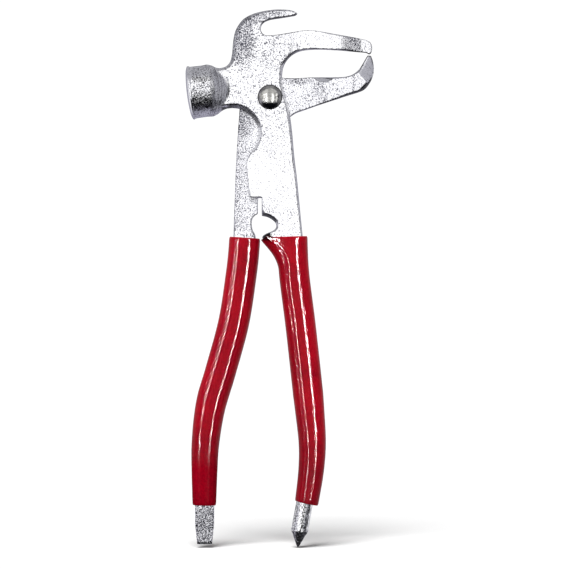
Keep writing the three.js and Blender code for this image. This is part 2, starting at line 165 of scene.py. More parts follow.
JAW_DRAFT = [  # the same, round the jaw arm
    (-16.3, -60, 0.5), (-15.5, -30, 0.6), (-14.5, -8, 0.7), (-10, 7, 1.0), (0, 10.8, 1.0), (8, 9.4, 0.9),
    (14, 9.4, 0.9), (24, 9.7, 0.5), (30, 9.7, 0.5), (37, 10.3, 0.5), (43, 15, 0.7), (46, 19, 0.3),
    (48.5, 14, 0.2), (48, 8, 0.5), (45, 4, 1.4), (40, 2, 0.5), (28, -2.4, 0.1), (16, -6, 0.1),
    (4, -18, 0.8), (-5, -44, 0.4), (-5.6, -52, 0.3), (-8.4, -58, 0.4), (-6.7, -65, 0.7), (-20, -100, 1.2),
    (-10, -100, 1.2), (-36, -170, 1.2), (-25, -170, 1.2),
]


def hammer_arm_outline():
    return np.vstack([
        catmull([(-29, 13.2), (-24, 13.8), (-20.8, 14.6), (-18.6, 17), (-17.8, 21), (-17.4, 26),
                 (-16.2, 31.5), (-12.7, 36.6), (-7.6, 39.3), (-1, 40.8), (5, 41.2), (10, 40.7), HOOK_TIP]),
        catmull([(11.8, 38), (5.3, 36.9), (-0.2, 36), (-3.3, 34.4), (-4.25, 31.9), (-3.2, 29.6), (-1, 28.8),
                 (4, 29.3), (10.9, 30.5), (17.3, 31.4), (23.5, 30.9), (30.5, 29.7), (37.4, 28.5),
                 (44.6, 27.2)]),
        catmull([(46.8, 26.3), (47.9, 24.2), (47.8, 21.8), (46.8, 20.2), (45.8, 20.1)]),
        catmull([(44.8, 20.8), (40, 21.3), (32.8, 21.9), (23.5, 22.3), (16.5, 22), (12.2, 20.8),
                 (8.8, 18.3), (6.6, 14.8), (5.75, 10.5), (5.85, 7), (6.6, 3), (8.1, -2.4), (9.5, -9),
                 (10.4, -16), (11, -23), (11.7, -30), (12.7, -38.2), (14.5, -57), (15.1, -63)]),
        core_edge(HAMMER_HANDLE, 1, CORE_END, -67),
        core_edge(HAMMER_HANDLE, -1, CORE_END, -68.5, trim=0.4)[::-1],
        [(-1.3, -67.3), (-1.6, -65.8)],
        catmull([(-3.7, -65.3), (-3.3, -64.1), (-1.5, -63), (1.1, -61.9), (2.6, -60.7), (2.9, -59.3),
                 (2.2, -57.8), (0.5, -56.4), (-1.6, -55.4), (-3.9, -55)]),
        [(-3.9, -46.7)],
        catmull([(-9.6, -46.7), (-10.3, -41.5), (-10.9, -35.9), (-11.2, -31.3), (-11, -28.9), (-10, -26.7),
                 (-8.4, -24.5), (-6.9, -22.1), (-5.9, -19.3), (-5.5, -16.2), (-6.1, -12.9), (-7.7, -10),
                 (-10.1, -7.6), (-13.2, -5.7), (-16.8, -5), (-20.4, -5.3), (-24, -6.4), (-29, -7.8)]),
    ])


def jaw_arm_outline():
    return np.vstack([
        catmull([(-17, -63.5), (-16.6, -50), (-16.1, -35), (-15.3, -20), (-14.6, -10), (-13.6, 0),
                 (-10.5, 6.8), (-5, 10.4), (1.5, 10.6), (6.5, 9.4)]),
        catmull([(12, 9.3), (21.2, 9.6), (32.8, 9.7), (36, 10.1), (38.6, 11), (41.2, 13.1), (43.4, 16.4),
                 (45.3, 19.9)]),
        catmull([(47.1, 19.9), (48, 17.2), (48.4, 13.2), (47.8, 9.8), (46.4, 6.8), (44.2, 4), (41.4, 2.6),
                 (36.3, 1), (25.8, -2.3), (16, -5.6), (11.4, -7.4), (7.6, -11), (4, -18), (0, -28),
                 (-3.6, -38), (-5.2, -45.5)]),
        [(-5.6, -49), (-5.6, -54)],
        catmull([(-7.1, -54.8), (-8.2, -56.4), (-8.5, -59), (-8, -61.6), (-6.9, -63.4), (-6.6, -65.5)]),
        core_edge(JAW_HANDLE, 1, CORE_END, -67),
        core_edge(JAW_HANDLE, -1, CORE_END, -65.5)[::-1],
    ])


# ---- Signed distance fields: negative inside, in millimetres ----
def smooth_max(a, b, k):
    return np.maximum(a, b) + np.maximum(k - np.abs(a - b), 0) ** 2 / (4 * k)


def smooth_min(a, b, k):
    return -smooth_max(-a, -b, k)


def ramp(value, start, end, low, high):
    """low before start, high after end, and an eased slope between."""
    t = np.clip((value - start) / (end - start), 0, 1)
    return low + (high - low) * t * t * (3 - 2 * t)


def slope(value, start, end, low, high):
    """The same with a straight slope."""
    return low + (high - low) * np.clip((value - start) / (end - start), 0, 1)


def polygon_distance(outline, x, z):
    """Signed distance to a closed outline on the plane grid x by z."""
    px, pz = np.meshgrid(x, z, indexing="ij")
    square = np.full(px.shape, 1e6, np.float32)
    inside = np.zeros(px.shape, bool)
    for (ax, az), (bx, bz) in zip(outline, np.roll(outline, -1, axis=0)):
        run = np.array([bx - ax, bz - az])
        length = run @ run
        if length < 1e-6:
            continue
        t = np.clip(((px - ax) * run[0] + (pz - az) * run[1]) / length, 0, 1)
        square = np.minimum(square, (px - ax - t * run[0]) ** 2 + (pz - az - t * run[1]) ** 2)
        if az != bz:
            crosses = (az > pz) != (bz > pz)
            inside ^= crosses & (px < (bx - ax) * (pz - az) / (bz - az) + ax)
    return np.where(inside, -np.sqrt(square), np.sqrt(square)).astype(np.float32)


def draft_map(notes, x, z):
    """How far the forging draft draws the edge in at the face, blended between notes of (x, z, draft)."""
    px, pz = np.meshgrid(x, z, indexing="ij")
    total, weights = np.zeros(px.shape, np.float32), np.zeros(px.shape, np.float32)
    for nx, nz, value in notes:
        weight = 1 / ((px - nx) ** 2 + (pz - nz) ** 2 + 0.5) ** 2.5
        total += weight * value
        weights += weight
    return (total / weights)[:, None, :]


def depth_share(y, front, back):
    """0 on the parting plane, 1 at the local face."""
    face = np.where(y < 0, np.minimum(front, -1.0), np.maximum(back, 1.0))
    return np.clip(y / face, 0, 1.3) ** 1.2


class Grid:
    """The sampling grid of a forging, with broadcastable coordinates."""

    def __init__(self, low, high):
        axes = [np.arange(lo, hi + STEP, STEP, dtype=np.float32) for lo, hi in zip(low, high)]
        self.low = np.array(low, float)
        self.x, self.y, self.z = axes
        self.X, self.Y, self.Z = axes[0][:, None, None], axes[1][None, :, None], axes[2][None, None, :]

    def outline(self, points):
        return polygon_distance(points, self.x, self.z)[:, None, :]


def corners_inside(inside):
    """How many of the eight corners of each grid cell are inside."""
    count = np.zeros([size - 1 for size in inside.shape], np.uint8)
    for i, j, k in np.ndindex(2, 2, 2):
        count += inside[i : i - 1 or None, j : j - 1 or None, k : k - 1 or None]
    return count


def surface_net(field, grid):
    """Vertices and quads of the zero level of a field, one vertex to each grid cell that it crosses."""
    inside = field < 0
    corners = corners_inside(inside)
    cells = np.argwhere((corners > 0) & (corners < 8))
    number = np.full(corners.shape, -1, np.int32)
    number[tuple(cells.T)] = np.arange(len(cells))
    total = np.zeros((len(cells), 3))
    count = np.zeros(len(cells))
    for axis in range(3):
        for corner in np.ndindex(2, 2):
            start = np.insert(corner, axis, 0)
            end = np.insert(corner, axis, 1)
            f0 = field[tuple((cells + start).T)]
            f1 = field[tuple((cells + end).T)]
            cut = (f0 < 0) != (f1 < 0)
            point = np.repeat(start[None].astype(float), len(cells), 0)
            point[:, axis] = np.where(cut, f0 / np.where(cut, f0 - f1, 1), 0)
            total += point * cut[:, None]
            count += cut
    vertices = (cells + total / count[:, None]) * STEP + grid.low
    quads = []
    for axis in range(3):
        u, v = (axis + 1) % 3, (axis + 2) % 3
        solid = np.moveaxis(inside, (axis, u, v), (0, 1, 2))
        ids = np.moveaxis(number, (axis, u, v), (0, 1, 2))
        here, there = solid[:-1, 1:-1, 1:-1], solid[1:, 1:-1, 1:-1]
        for flip, change in ((False, here & ~there), (True, ~here & there)):
            i, j, k = np.nonzero(change)
            quad = np.column_stack([ids[i, j, k], ids[i, j + 1, k], ids[i, j + 1, k + 1], ids[i, j, k + 1]])
            quads.append(quad[:, ::-1] if flip else quad)
    return vertices, np.vstack(quads)


def relax(vertices, quads):
    """Draws each point halfway to the mean of its neighbours."""
    edges = np.vstack([quads[:, [a, (a + 1) % 4]] for a in range(4)])
    degree = np.bincount(edges.ravel(), minlength=len(vertices)).astype(float)
    total = np.zeros_like(vertices)
    for k in range(3):
        total[:, k] = np.bincount(edges[:, 0], vertices[edges[:, 1], k], len(vertices))
        total[:, k] += np.bincount(edges[:, 1], vertices[edges[:, 0], k], len(vertices))
    return vertices + 0.5 * (total / degree[:, None] - vertices)


def settle(vertices, field, grid):
    """Moves the points back onto the zero level of the field, one Newton step."""
    at = np.clip((vertices - grid.low) / STEP, 0, np.array(field.shape) - 1.001)
    cell = at.astype(int)
    share = at - cell
    value = np.zeros(len(vertices))
    gradient = np.zeros_like(vertices)
    for corner in np.ndindex(2, 2, 2):
        corner = np.array(corner)
        f = field[tuple((cell + corner).T)]
        weight = np.where(corner, share, 1 - share)
        value += f * weight.prod(1)
        for k in range(3):
            gradient[:, k] += f * np.delete(weight, k, 1).prod(1) * (1 if corner[k] else -1)
    steep = np.maximum((gradient**2).sum(1), 0.04 * STEP**2)
    move = -(value / steep)[:, None] * gradient * STEP
    return vertices + np.clip(move, -0.3 * STEP, 0.3 * STEP)


def make_mesh(name, vertices, quads):
    """A mesh object in metres from millimetre arrays in the model's own frame."""
    mesh = bpy.data.meshes.new(name)
    mesh.vertices.add(len(vertices))
    mesh.vertices.foreach_set("co", ((vertices + [0, LAP_Y, 0]) * MM).astype(np.float32).ravel())
    mesh.loops.add(quads.size)
    mesh.loops.foreach_set("vertex_index", quads.astype(np.int32).ravel())
    mesh.polygons.add(len(quads))
    mesh.polygons.foreach_set("loop_start", np.arange(0, quads.size, 4, dtype=np.int32))
    mesh.polygons.foreach_set("use_smooth", np.full(len(quads), True))
    mesh.update(calc_edges=True)
    mesh.validate()
    obj = bpy.data.objects.new(name, mesh)
    bpy.context.scene.collection.objects.link(obj)
    return obj


def ring_quads(rings, around, closed):
    """Quads between neighbouring rings of points, and from the last ring to the first when closed."""
    i, j = np.meshgrid(np.arange(rings if closed else rings - 1), np.arange(around), indexing="ij")
    ring, next_ring = i * around, (i + 1) % rings * around
    beside = (j + 1) % around
    corners = (ring + j, ring + beside, next_ring + beside, next_ring + j)
    return np.column_stack([corner.ravel() for corner in corners])


def add_attribute(obj, name, values):
    obj.data.attributes.new(name, "FLOAT", "POINT").data.foreach_set("value", values.astype(np.float32))


def read_vectors(collection, name):
    """One vector of every element of a mesh's collection, as rows of an array."""
    values = np.empty(len(collection) * 3, np.float32)
    collection.foreach_get(name, values)
    return values.reshape(-1, 3)


# ---- The hammer arm ----
HAMMER_FACE, HAMMER_TILT, HAMMER_LENGTH = (-38.7, 2.1), math.radians(7), 21.0
HAMMER_PROFILE = [  # distance from the face and radius there
    (0, 12.7), (2.0, 12.6), (2.8, 12.1), (8.5, 12.0), (10.4, 12.2),
    (11.4, 12.1), (12.1, 11.8), (13.4, 11.3), (19.2, 6.4), (21.5, 4.2),
]
CROWN, ROLL, ROLL_FROM = 0.0065, 0.06, 9.5  # the striking face is crowned, and rolls over outside a radius
POINT_START, POINT_SHOULDER, POINT_TIP, POINT_R = (16.1, -188.0), (13.7, -201.4), (12.9, -209.2), 3.9
POINT_PROFILE = [(0, POINT_R), (10, POINT_R), (14, POINT_R - 0.2)]
BAR_FROM, BAR_TO = -6.0, 14.6  # the ends of the round bar, along the tail
HOOK_CENTRE, HOOK_INSIDE, HOOK_BEVEL = (0.0, 24.5), 9.5, 0.3
UPPER_JAW_FROM = 10.0  # the hook and the jaw of the hammer arm are above this height
UPPER_JAW_FRONT, UPPER_JAW_BACK, UPPER_JAW_MIDDLE = (32, 43), (30.5, 37.5), 23.0  # stretches of x
HAMMER_ARM_FRONT = (12, 66)  # the front falls to the handle's between these depths under the pivot
BEHIND_LAP_TO = 30.0  # from the neck to this x nothing of the hammer arm is behind the lap plane


def direction(start, end):
    """Unit direction from one (x, z) place to another, and their distance."""
    dx, dz = end[0] - start[0], end[1] - start[1]
    reach = math.hypot(dx, dz)
    return (dx / reach, dz / reach), reach


def axis_coordinates(g, at, along):
    """Distances along and across an axis that lies in the x z plane."""
    ax, az = along
    return (g.X - at[0]) * ax + (g.Z - at[1]) * az, -(g.X - at[0]) * az + (g.Z - at[1]) * ax


def turned_distance(g, at, along, profile):
    """Place along the axis, distance from it, and distance to a solid turned about it."""
    s, c = axis_coordinates(g, at, along)
    r = np.sqrt(c**2 + g.Y**2)
    return s, r, r - np.interp(s, *np.array(profile).T).astype(np.float32)


def hammer_head(g):
    along = (math.cos(HAMMER_TILT), math.sin(HAMMER_TILT))
    s, r, body = turned_distance(g, HAMMER_FACE, along, HAMMER_PROFILE)
    crown = CROWN * r**2 + ROLL * np.maximum(r - ROLL_FROM, 0) ** 2
    return smooth_max(smooth_max(body * 0.9, crown - s, 0.3), s - HAMMER_LENGTH, 2.0)


def pointed_tail(g):
    """A round bar that ends in a pyramid with its corners taken off."""
    along, _ = direction(POINT_START, POINT_SHOULDER)
    s, _, bar = turned_distance(g, POINT_START, along, POINT_PROFILE)
    bar = smooth_max(bar, s - BAR_TO, 0.6)
    bar = smooth_max(bar, BAR_FROM - s, 0.6)
    along, reach = direction(POINT_SHOULDER, POINT_TIP)
    s, c = axis_coordinates(g, POINT_SHOULDER, along)
    side = POINT_R - 0.15 - s * (POINT_R - 0.5) / reach
    pyramid = smooth_max(np.abs(c) - side, np.abs(g.Y) - side, 0.5)
    corner = (np.abs(c) + np.abs(g.Y)) * math.sqrt(0.5) - side * 1.05
    point = smooth_max(smooth_max(pyramid * 0.91, corner, 0.5), s - reach + 0.1, 0.5)
    point = smooth_max(point, -0.8 - s, 0.4)
    return smooth_min(bar, point, 0.5)


def hook_thinning(g):
    """How far the front face falls back over the outside of the hook."""
    r = np.hypot(g.X - HOOK_CENTRE[0], g.Z - HOOK_CENTRE[1])
    sector = ramp(g.Z + 0.35 * g.X, 10, 19, 0, 1) * ramp(g.X, 9, 13, 1, 0.45)
    return np.maximum(r - HOOK_INSIDE, 0) * HOOK_BEVEL * sector


def hammer_arm_field(g):
    edge = g.outline(hammer_arm_outline())
    above = g.Z > UPPER_JAW_FROM
    jaw_front = ramp(g.X, *UPPER_JAW_FRONT, -LAP, -CORE)
    arm_front = ramp(-g.Z, *HAMMER_ARM_FRONT, -LAP, -CORE)
    front = np.where(above, jaw_front, arm_front) + hook_thinning(g)
    jaw_back = ramp(g.X, *UPPER_JAW_BACK, 0, CORE)
    arm_back = ramp(-g.Z, -LAP_END, -RAMP_END, 0, CORE)
    neck_back = ramp(-g.X, -NECK_FROM, -NECK_TO, 0, LAP)
    back = np.maximum(np.where(above, jaw_back, arm_back), neck_back)
    side = edge + draft_map(HAMMER_DRAFT, g.x, g.z) * depth_share(g.Y, front, back)
    rounding = slope(np.abs(g.X - UPPER_JAW_MIDDLE), 9, 15, CRISP, SOFT)
    plate = smooth_max(smooth_max(front - g.Y, g.Y - back, FACE_BLEND), side, rounding)
    whole = smooth_min(plate, hammer_head(g), 1.4)
    whole = smooth_min(whole, pointed_tail(g), 0.8)
    behind_lap = np.where((g.X > NECK_FROM) & (g.X < BEHIND_LAP_TO) & (g.Z > LAP_END), g.Y, -50.0)
    return np.maximum(whole, behind_lap).astype(np.float32)


def forged_piece(name, grid, field, material, grain):
    """A forging's mesh, with attributes that say how its surface varies."""
    vertices, quads = surface_net(field, grid)
    for _ in range(3):
        vertices = settle(relax(vertices, quads), field, grid)
    obj = make_mesh(name, vertices, quads)
    normals = read_vectors(obj.data.vertex_normals, "vector")
    add_attribute(obj, "grain", grain(vertices))
    # the scale attribute holds painted shade and painted dark reflections
    add_attribute(obj, "scale", painted_dark(vertices, normals))
    add_attribute(obj, "turned", turning_marks(vertices, normals))
    obj.data.materials.append(material)
    return obj


# ---- Where the grain and the painted shade of the forgings vary. Patches hold a place (x, z), a reach and a strength ----
# walls where the painted shade is lighter
BRIGHT_WALLS = [  # at the foot of the shear, on the root of the lower jaw and inside the upper jaw
    ((-6.5, -46.7), (6, 2), 1.0),
    ((8, -7.5), (19, 9), 1.0),
    ((23, 22), (17, 5), 0.6),
]
# painted shade in corners
DARK_CORNERS = [  # at the heel and the tip of the lower jaw, and under the tip of the upper jaw
    ((44.5, 4), (8, 7), 1.0),
    ((44.4, 17), (4, 6), 1.0),
    ((42, 20.5), (7, 2.5), 1.0),
]
HAMMER_GRAIN = [  # deep on the back of the hook, shallow on the middle of the jaw, the shear and the arm
    ((-13, 27), (8, 17), 0.85),
    ((-3, 38), (12, 6), 0.65),
    ((23, 26), (12, 12), -0.3),
    ((2, 20), (14, 12), 0.2),
    ((-4.5, -37), (9, 14), -0.6),
    ((9, -42), (9, 32), -0.25),
]
JAW_GRAIN = [  # deep behind the root of the jaw and under the neck of the hammer
    ((13, 9), (8, 4), 0.6),
    ((-11.5, -11), (6, 9), 0.5),
]


def near(vertices, place, reach):
    """1 at a place on the face, fading to 0 at the given reach."""
    d = np.hypot((vertices[:, 0] - place[0]) / reach[0], (vertices[:, 2] - place[1]) / reach[1])
    return ramp(d, 0.5, 1.0, 1, 0)


def strongest(vertices, patches):
    return np.maximum.reduce([strength * near(vertices, place, reach) for place, reach, strength in patches])


def patchwork(vertices, patches):
    return sum(strength * near(vertices, place, reach) for place, reach, strength in patches)


def turning_marks(vertices, normals):
    """Coordinate across the turning marks on the shoulder of the hammer, and 0 elsewhere."""
    x, y, z = vertices.T
    in_front = (y < 0) * (np.abs(normals[:, 1]) < 0.97)
    shoulder = in_front * (x < -17) * (x > -27.5) * (z > HAMMER_BOTTOM)
    return shoulder * np.hypot(x + 40, 0.8 * (z - 3)) * 1.6


def wall_shade(vertices, normals):
    """Painted shade on the walls, most where they face down, and a painted dark line along the edges of the
    faces.
    """
    facing = np.abs(normals[:, 1])
    wall = ramp(facing, 0.55, 0.85, 1, 0)
    # a painted dark line along the edges of the faces
    line = ramp(facing, 0.62, 0.78, 0, 1) * ramp(facing, 0.84, 0.93, 1, 0)
    bright = strongest(vertices, BRIGHT_WALLS)
    down = ramp(-normals[:, 2], 0.25, 0.75, 0, 1) * (1 - bright)
    # painted shade under the neck of the hammer
    neck = near(vertices, (-12, -9), (11, 9))
    corner = strongest(vertices, DARK_CORNERS)
    on_wall = np.minimum(0.18 + 0.8 * down + 0.5 * neck + 0.9 * corner, 1.1 - 0.45 * neck)
    return wall * on_wall + line * (0.35 * (1 - bright) + 0.6 * corner)


def tail_reflections(x, z):
    """Painted dark reflections in streaks down the round bar and on its point, and painted shade on the end
    of the driver.
    """
    across = (x - POINT_START[0] - 0.18 * (z - POINT_START[1])) / POINT_R
    streaks = 0.62 * np.exp(-(((across - 0.1) / 0.15) ** 4)) + 0.62 * np.exp(-(((across - 0.64) / 0.2) ** 4))
    streaks += 0.33 * ramp(-across, 0.5, 0.7, 0, 1)
    cone = ramp(-z, 200.6, 202.2, 0, 0.72) * ramp(x, 11.3, 12.1, 0.3, 1)
    point = np.maximum(cone, streaks * (z < TAILS_FROM)) * (x > 0)
    driver = ramp(-z, 206.0, 206.6, 0, 0.6) * (x < 0)
    return np.maximum(point, driver)


def barrel_reflection(x, z):
    """A painted dark reflection in a band along the hammer's barrel, just under its middle, and a faint one
    above it.
    """
    dark = ramp(-z, -4, 1.6, 0.16, 0.56) * ramp(-z, 4.3, 5.8, 1, 0.1)
    faint = ramp(z, 5.8, 7.6, 0, 0.3) * ramp(z, 8.6, 10, 1, 0)
    return (dark + faint) * (x < -27) * (x > -36)


def painted_dark(vertices, normals):
    """How dark the painted shade and the painted reflections make the surface. The turned, the ground and the
    bevelled faces have no painted shade on their walls.
    """
    x, z = vertices[:, 0], vertices[:, 2]
    turned = np.maximum(ramp(-x - 3 * (z < -4.5), 18.5, 20.5, 0, 1) * (z > HAMMER_BOTTOM), z < TAILS_FROM)
    ground = ramp(past_lens(x, z), -0.4, 0, 0, 1) * (z < 12)
    on_facet = (np.abs(normals[:, 1]) > 0.8) * (x > 30) * (z > 0) * (z < 19.5)
    facet = ramp(past_facet(x, z), 0, 0.3, 0, 1) * on_facet
    walls = wall_shade(vertices, normals) * (1 - turned) * (1 - ground) * (1 - facet)
    # painted shade on the lip of the notch, where the sleeve meets the steel
    steel_lip_shade = 0.9 * near(vertices, (-2.2, -64.2), (4, 2.6)) * (x > -5.5)
    return np.maximum.reduce([walls, tail_reflections(x, z), barrel_reflection(x, z), steel_lip_shade])


def hammer_arm_grain(vertices):
    """Depth of the tumbled grain. It's also deep in a drift near the tip of the jaw and on the barrel."""
    x, z = vertices[:, 0], vertices[:, 2]
    grain = 0.5 + patchwork(vertices, HAMMER_GRAIN)
    drift = x + 0.5 * (z - 24)
    grain += 0.95 * ramp(drift, 29, 42, 0, 1) ** 2.5 * ramp(x, 41, 42.6, 1, 0) * (z > 18)
    barrel = (x < -18) * (z > HAMMER_BOTTOM)
    middle = ramp(z, 3, 9, 0.8, 0.25) * ramp(-z, 3.5, 6, 1, 0.3)
    rim = ramp(x, -36.2, -35.4, 1, 0)
    grain += 0.8 * barrel * middle * ramp(x, -28.5, -25.5, 1, 0) * (1 - rim)
    grain -= 0.35 * barrel * rim
    grain += 0.15 * (z < TAILS_FROM) + 1.2 * (z < POINT_SHOULDER[1] - 0.1)
    return np.clip(grain, 0.03, 2)


# ---- The jaw arm ----
LOWER_JAW_FROM = -20.0  # the jaw and the eye of the jaw arm are above this height
LOWER_JAW_FRONT, LOWER_JAW_BACK, LOWER_JAW_MIDDLE = (15, 33), (14.0, 24.5), 12.0  # stretches of x
JAW_ARM_FRONT, JAW_ARM_BACK = (47, 68), (50, -RAMP_END)  # depths under the pivot
FACET_AT, FACET_TURN, FACET_FALL = (41.6, 10.0), math.radians(40.4), 0.52
LENS_X, LENS_Z, LENS_HALF, LENS_DEPTH, LENS_FALL = 25.0, 9.7, 5.5, 2.7, 0.62
DRIVER_CENTRE, DRIVER_SHOULDER, DRIVER_END = -30.4, -191.0, -207.6
DRIVER_WIDTHS = [(DRIVER_END, 3.5), (DRIVER_SHOULDER - 7, 4.4)]  # height and half width there
DRIVER_DEPTHS = [(DRIVER_END, 0.65), (DRIVER_END + 1.4, 0.95), (DRIVER_END + 6, 1.55), (DRIVER_SHOULDER, 3.2)]


def driver_tail(g):
    """A flat blade that thins towards its end."""
    wide = np.interp(g.Z, *np.array(DRIVER_WIDTHS).T).astype(np.float32)
    deep = np.interp(g.Z, *np.array(DRIVER_DEPTHS).T).astype(np.float32)
    body = smooth_max(np.abs(g.X - DRIVER_CENTRE) - wide, np.abs(g.Y) - deep, 0.5)
    body = smooth_max(body, DRIVER_END - g.Z, 0.4)
    return smooth_max(body, g.Z - CORE_END, 0.5)


def past_facet(x, z):
    """Distance past the line where the ground facet of the jaw tip begins."""
    return (x - FACET_AT[0]) * math.cos(FACET_TURN) + (z - FACET_AT[1]) * math.sin(FACET_TURN)


def past_lens(x, z):
    """Height above the lower border of the lens shaped flat that is ground along the top of the jaw."""
    return z - LENS_Z + LENS_DEPTH * (1 - ((x - LENS_X) / LENS_HALF) ** 2)


def jaw_arm_field(g):
    edge = g.outline(jaw_arm_outline())
    above = g.Z > LOWER_JAW_FROM
    front = np.where(above, slope(g.X, *LOWER_JAW_FRONT, GAP, -CORE), slope(-g.Z, *JAW_ARM_FRONT, GAP, -CORE))
    jaw_back = ramp(g.X, *LOWER_JAW_BACK, LAP + GAP, CORE)
    back = np.where(above, jaw_back, ramp(-g.Z, *JAW_ARM_BACK, LAP + GAP, CORE))
    front = front + np.maximum(past_facet(g.X, g.Z), 0) * FACET_FALL * (g.Z > 0) * (g.X > 30)
    front = front + np.maximum(LENS_FALL * past_lens(g.X, g.Z), 0)
    side = edge + draft_map(JAW_DRAFT, g.x, g.z) * depth_share(g.Y, np.minimum(front, -CORE), back)
    rounding = slope(np.abs(g.X - LOWER_JAW_MIDDLE), 10, 17, CRISP, SOFT)
    plate = smooth_max(smooth_max(front - g.Y, g.Y - back, FACE_BLEND), side, rounding)
    return smooth_min(plate, driver_tail(g), 0.8).astype(np.float32)


def jaw_arm_grain(vertices):
    """Depth of the tumbled grain. It's also deep across the jaw's step, down the left of the arm and in the
    crease before the facet, and there's none on the ground faces."""
    x, z = vertices[:, 0], vertices[:, 2]
    grain = 0.6 + patchwork(vertices, JAW_GRAIN)
    grain += 0.32 * near(vertices, (23.5 - 0.2 * (z - 3), 2), (4.5, 12))
    grain += 0.4 * ramp(-x, 8, 15, 0, 1) * (z < 5) * (z > RAMP_END - 1)
    grain += 0.6 * np.exp(-(((x - 38.8) / 0.45) ** 2)) * (z > 1) * (z < 11)
    grain -= 1.2 * ramp(past_facet(x, z), -0.4, 0.1, 0, 1) * (x > 30) * (z > 0)
    grain -= 1.2 * ramp(past_lens(x, z), 0, 0.4, 0, 1)
    grain += 0.75 * (z < TAILS_FROM)
    return np.clip(grain, 0.02, 2)


# ---- Turned pieces ----
RIVET_HEAD, RIVET_HEIGHT, RIVET_RIM, RIVET_SHANK = 5.75, 2.9, 0.3, 3.95
CLINCH_R, CLINCH_DEPTH = 5.6, 1.5  # the rear end of the rivet
WASHER_BORE, WASHER_R, WASHER_THICK, WASHER_EDGE = 4.3, 7.4, 1.2, 0.3
CLEAR = 0.1  # between the rivet, the arms and the washer


def lathe(name, profile, material, sides=128):
    """A turned solid about the pivot. profile holds (radius, y), from axis to axis or closed on itself."""
    profile = np.asarray(profile, float)
    closed = np.allclose(profile[0], profile[-1])
    if closed:
        profile = profile[:-1]
    angle = np.linspace(0, 2 * math.pi, sides, endpoint=False)
    radius, y = profile[:, :1], profile[:, 1:]
    points = np.stack([radius * np.cos(angle), y + 0 * angle, radius * np.sin(angle)], -1)
    return ring_mesh(name, points, closed, material)


def ring_mesh(name, points, closed, material):
    """A mesh over rings of points, with the points on an axis merged and every face looking outward."""
    obj = make_mesh(name, points.reshape(-1, 3), ring_quads(*points.shape[:2], closed))
    b = bmesh.new()
    b.from_mesh(obj.data)
    bmesh.ops.remove_doubles(b, verts=b.verts, dist=1e-7)
    bmesh.ops.dissolve_degenerate(b, dist=1e-8, edges=b.edges)
    bmesh.ops.recalc_face_normals(b, faces=b.faces)
    b.to_mesh(obj.data)
    b.free()
    obj.data.materials.append(material)
    return obj


def arc(centre, radius, start, end, count):
    """Points (radius, y) round an arc, angles in degrees from the +radius direction towards +y."""
    a = np.radians(np.linspace(start, end, count))
    return [(centre[0] + radius * math.cos(t), centre[1] + radius * math.sin(t)) for t in a]


def rivet_profile():
    """The domed head, the shank through both arms and the end clinched over the washer."""
    front = -LAP - CLEAR
    rear = LAP + GAP + 2 * CLEAR + WASHER_THICK
    rim = front - RIVET_RIM
    dome = [(RIVET_HEAD * math.sin(t), rim - (RIVET_HEIGHT - RIVET_RIM) * math.cos(t) ** 1.35)
            for t in np.radians(np.linspace(0, 88, 34))]
    shank = [(RIVET_HEAD, rim), (RIVET_HEAD, front), (RIVET_SHANK, front), (RIVET_SHANK, rear)]
    round_off = arc((CLINCH_R - 1, rear + 0.5), 1.0, 5, 85, 8)
    return [*dome, *shank, (CLINCH_R, rear), (CLINCH_R, rear + 0.45), *round_off, (0, rear + CLINCH_DEPTH)]


def washer_profile():
    front = LAP + GAP + CLEAR
    rear = front + WASHER_THICK
    bend = rear - WASHER_EDGE
    outer_edge = arc((WASHER_R - WASHER_EDGE, bend), WASHER_EDGE, 0, 90, 5)
    inner_edge = arc((WASHER_BORE + WASHER_EDGE, bend), WASHER_EDGE, 90, 180, 5)
    return [(WASHER_BORE, front), (WASHER_R, front), *outer_edge, *inner_edge, (WASHER_BORE, front)]


# ---- The sleeves ----
SECTION_POWER = 2.12  # of the superellipse that a sleeve's section follows
RIPPLES = [(11, 0.03, 0), (17, 0.02, 1)]  # number round a sleeve, height and phase
BORE_CLEAR = 0.15  # between a sleeve and the core
SLEEVE_RINGS = 210
HAMMER_RIDGES = [  # width, then height and place (share of the half width) at some heights
    (0.65, [(-64, 0.26, -0.5), (-66, 0.26, -0.5), (-68, 0.26, -0.13), (-72, 0.26, -0.1), (-75, 0.22, -0.18),
           (-80, 0.16, -0.27), (-88, 0.1, -0.33), (-150, 0.1, -0.3), (-190, 0.1, -0.22)]),
    (0.8, [(-64, 0.12, 0.22), (-150, 0.12, 0.24), (-190, 0.12, 0.26)]),
    (0.4, [(-64, 0.1, 0.62), (-190, 0.1, 0.6)]),
    (0.3, [(-64, 0.06, -0.62), (-190, 0.06, -0.6)]),
]
JAW_RIDGES = [
    (0.9, [(-64, 0.1, -0.4), (-95, 0.1, -0.36), (-125, 0.1, -0.42), (-170, 0.1, -0.47), (-190, 0.05, -0.47)]),
    (0.9, [(-64, 0.1, 0.26), (-90, 0.1, 0.24), (-115, 0.1, 0.31), (-170, 0.1, 0.3), (-190, 0.05, 0.3)]),
    (0.4, [(-64, 0.08, 0.72), (-190, 0.08, 0.7)]),
    (0.3, [(-64, 0.06, -0.76), (-190, 0.06, -0.76)]),
]


